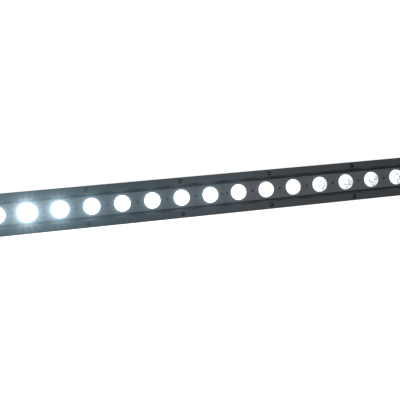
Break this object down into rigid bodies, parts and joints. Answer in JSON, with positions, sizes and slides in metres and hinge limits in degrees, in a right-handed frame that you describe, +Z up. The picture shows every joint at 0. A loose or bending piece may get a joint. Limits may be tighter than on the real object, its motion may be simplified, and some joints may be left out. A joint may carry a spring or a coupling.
{
  "type": "led strip batten",
  "caption": "Long black stage lighting bar with a row of round lenses between two screwed front rails, on tilting end brackets.",
  "frame": {"origin": "on the floor, under the centre of the whole fixture's box", "axes": "+X along the bar to the right as seen by someone the light shines on, the light leaves towards -Y, +Z up"},
  "size_m": [1.0548, 0.1124, 0.1258],
  "materials": {
    "anodised_housing": "black anodised extrusion, fine matt grain",
    "anodised_rail": "satin black anodised, slightly bluish",
    "painted_sheet": "black powder coat, fine texture",
    "lens_panel": "dark grey matt powder coat",
    "bracket_steel": "black powder coated steel, fine texture",
    "lens": "clear polished acrylic, lit",
    "led_board": "white solder mask",
    "black_screws": "black oxide, semi-gloss",
    "gasket_rubber": "matt silicone rubber",
    "friction_material": "matt fibre and rubber",
    "knob_plastic": "fine grained black plastic",
    "connector_plastic": "moulded black plastic",
    "connector_metal": "satin nickel",
    "display_window": "dark smoked acrylic",
    "button_plastic": "matt black plastic",
    "circuit_board": "green solder mask",
    "bare_aluminium": "mill finish",
    "zinc_steel": "bright zinc plate",
    "cable_rubber": "matt black sheath"
  },
  "bodies": {
    "bar": {"housing": "anodised_housing", "rear_cover": "painted_sheet", "upper_front_rail": "anodised_rail", "lower_front_rail": "anodised_rail", "left_end_cap": "anodised_housing", "right_end_cap": "anodised_housing", "left_end_gasket": "gasket_rubber", "right_end_gasket": "gasket_rubber", "left_led_board": "led_board", "right_led_board": "led_board", "left_lens_panel": "lens_panel", "right_lens_panel": "lens_panel", "lens_01": "lens", "lens_02": "lens", "lens_03": "lens", "lens_04": "lens", "lens_05": "lens", "lens_06": "lens", "lens_07": "lens", "lens_08": "lens", "lens_09": "lens", "lens_10": "lens", "lens_11": "lens", "lens_12": "lens", "lens_13": "lens", "lens_14": "lens", "lens_15": "lens", "lens_16": "lens", "upper_rail_screw_1": "black_screws", "upper_rail_screw_2": "black_screws", "upper_rail_screw_3": "black_screws", "upper_rail_screw_4": "black_screws", "upper_rail_screw_5": "black_screws", "upper_rail_screw_6": "black_screws", "lower_rail_screw_1": "black_screws", "lower_rail_screw_2": "black_screws", "lower_rail_screw_3": "black_screws", "lower_rail_screw_4": "black_screws", "lower_rail_screw_5": "black_screws", "lower_rail_screw_6": "black_screws", "left_friction_disc": "friction_material", "right_friction_disc": "friction_material", "power_inlet": "connector_plastic", "power_outlet": "connector_plastic", "data_inlet": "connector_metal", "data_outlet": "connector_metal", "display_window": "display_window", "control_board": "circuit_board", "power_supply": "bare_aluminium", "safety_lug": "zinc_steel", "led_cable": "cable_rubber"},
    "left_bracket": {"left_bracket": "bracket_steel"},
    "right_bracket": {"right_bracket": "bracket_steel"},
    "left_knob": {"left_tilt_knob": "knob_plastic"},
    "right_knob": {"right_tilt_knob": "knob_plastic"},
    "menu_button": {"menu_button": "button_plastic"},
    "down_button": {"down_button": "button_plastic"},
    "up_button": {"up_button": "button_plastic"},
    "enter_button": {"enter_button": "button_plastic"},
    "data_latch": {"data_outlet_latch": "connector_metal"}
  },
  "joints": [
    {"name": "left_bracket_tilt", "type": "hinge", "parent": "bar", "child": "left_bracket", "pos_m": [-0.5036, -0.01015, 0.085], "axis": [1, 0, 0], "range_deg": [-90, 90]},
    {"name": "right_bracket_tilt", "type": "hinge", "parent": "bar", "child": "right_bracket", "pos_m": [0.5036, -0.01015, 0.085], "axis": [1, 0, 0], "range_deg": [-90, 90]},
    {"name": "left_knob_turn", "type": "hinge", "parent": "bar", "child": "left_knob", "pos_m": [-0.5164, -0.01015, 0.085], "axis": [-1, 0, 0], "range_deg": [0, 360]},
    {"name": "right_knob_turn", "type": "hinge", "parent": "bar", "child": "right_knob", "pos_m": [0.5164, -0.01015, 0.085], "axis": [1, 0, 0], "range_deg": [0, 360]},
    {"name": "menu_button_press", "type": "slide", "parent": "bar", "child": "menu_button", "axis": [0, -1, 0], "range_m": [0, 0.001], "stiffness_N_per_m": 400, "springref_m": -0.0005},
    {"name": "down_button_press", "type": "slide", "parent": "bar", "child": "down_button", "axis": [0, -1, 0], "range_m": [0, 0.001], "stiffness_N_per_m": 400, "springref_m": -0.0005},
    {"name": "up_button_press", "type": "slide", "parent": "bar", "child": "up_button", "axis": [0, -1, 0], "range_m": [0, 0.001], "stiffness_N_per_m": 400, "springref_m": -0.0005},
    {"name": "enter_button_press", "type": "slide", "parent": "bar", "child": "enter_button", "axis": [0, -1, 0], "range_m": [0, 0.001], "stiffness_N_per_m": 400, "springref_m": -0.0005},
    {"name": "data_latch_press", "type": "slide", "parent": "bar", "child": "data_latch", "axis": [0, -1, 0], "range_m": [0, 0.002], "stiffness_N_per_m": 500, "springref_m": -0.0005}
  ]
}
